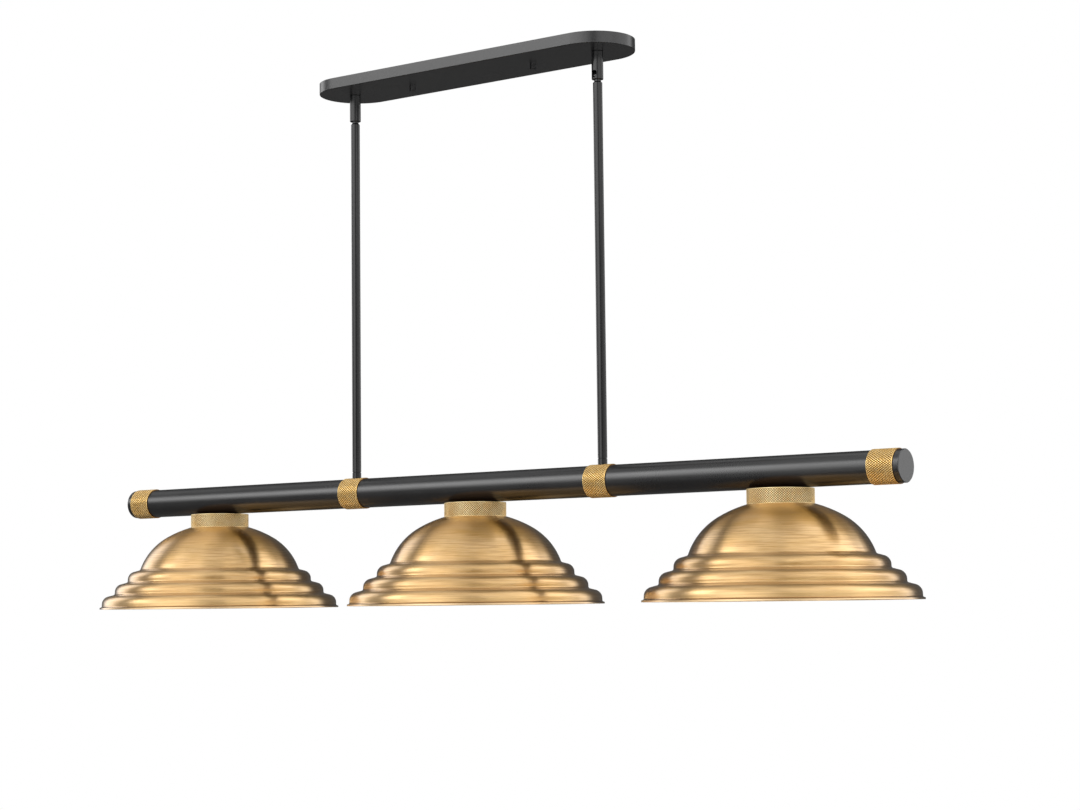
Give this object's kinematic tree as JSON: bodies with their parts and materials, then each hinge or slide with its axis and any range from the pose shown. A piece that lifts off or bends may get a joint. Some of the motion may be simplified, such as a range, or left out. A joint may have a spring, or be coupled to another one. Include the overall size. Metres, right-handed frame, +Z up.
{
  "type": "billiard light",
  "caption": "Linear pendant light for over a table: stepped brass dome shades under a black tube with knurled collars, hung on twin rods from swivels on a long canopy.",
  "frame": {"origin": "on the ceiling, at the middle of the canopy and of the bracket's slots", "axes": "+X along the tube, +Z up into the ceiling, -Y towards the side that the right coupler's slot faces"},
  "size_m": [1.336, 0.3556, 0.7602],
  "materials": {
    "black_paint": "satin black powder coat",
    "spun_brass": "spun, horizontally brushed, aged satin brass",
    "knurled_brass": "diamond knurled satin brass",
    "zinc_steel": "zinc plated",
    "white_plastic": "matte",
    "black_plastic": "moulded phenolic",
    "contact_brass": "bright stamped",
    "frosted_glass": "frosted inside",
    "bulb_cap": "rolled thread",
    "lead_sleeve": "vinyl",
    "green_paint": "green passivated"
  },
  "bodies": {
    "canopy": {"canopy_cover": "black_paint", "mounting_bracket": "zinc_steel", "canopy_studs": "zinc_steel", "stud_lock_nuts": "zinc_steel", "canopy_cap_nuts": "black_paint", "ground_screw": "green_paint", "terminal_block": "white_plastic", "swivel_coupler_left": "black_paint", "swivel_coupler_right": "black_paint", "coupler_nipples": "zinc_steel", "coupler_washers": "zinc_steel", "coupler_nuts": "zinc_steel", "canopy_leads": "lead_sleeve"},
    "pendant": {"ball_stud_left": "black_paint", "ball_stud_right": "black_paint", "bulb_base_centre": "bulb_cap", "bulb_base_left": "bulb_cap", "bulb_base_right": "bulb_cap", "bulb_glass_centre": "frosted_glass", "bulb_glass_left": "frosted_glass", "bulb_glass_right": "frosted_glass", "centre_contacts": "contact_brass", "end_cap_left": "black_paint", "end_cap_right": "black_paint", "end_ring_left": "knurled_brass", "end_ring_right": "knurled_brass", "lamp_holder_centre": "black_plastic", "lamp_holder_left": "black_plastic", "lamp_holder_right": "black_plastic", "lamp_lead_centre": "lead_sleeve", "lamp_lead_left": "lead_sleeve", "lamp_lead_right": "lead_sleeve", "lamp_nipples": "zinc_steel", "lamp_nuts": "zinc_steel", "lamp_saddles": "zinc_steel", "main_tube": "black_paint", "neck_cup_centre": "knurled_brass", "neck_cup_left": "knurled_brass", "neck_cup_right": "knurled_brass", "screw_shell_centre": "contact_brass", "screw_shell_left": "contact_brass", "screw_shell_right": "contact_brass", "shade_centre": "spun_brass", "shade_left": "spun_brass", "shade_right": "spun_brass", "shade_ring_centre": "black_plastic", "shade_ring_left": "black_plastic", "shade_ring_right": "black_plastic", "stem_foot_left": "black_paint", "stem_foot_right": "black_paint", "stem_nipples": "zinc_steel", "stem_nuts": "zinc_steel", "stem_ring_left": "knurled_brass", "stem_ring_right": "knurled_brass", "stem_rod_left": "black_paint", "stem_rod_right": "black_paint", "stem_saddles": "zinc_steel"}
  },
  "joints": [
    {"name": "swing", "type": "hinge", "parent": "canopy", "child": "pendant", "pos_m": [0, 0, -0.0499], "axis": [1, 0, 0], "range_deg": [-18, 18]}
  ]
}
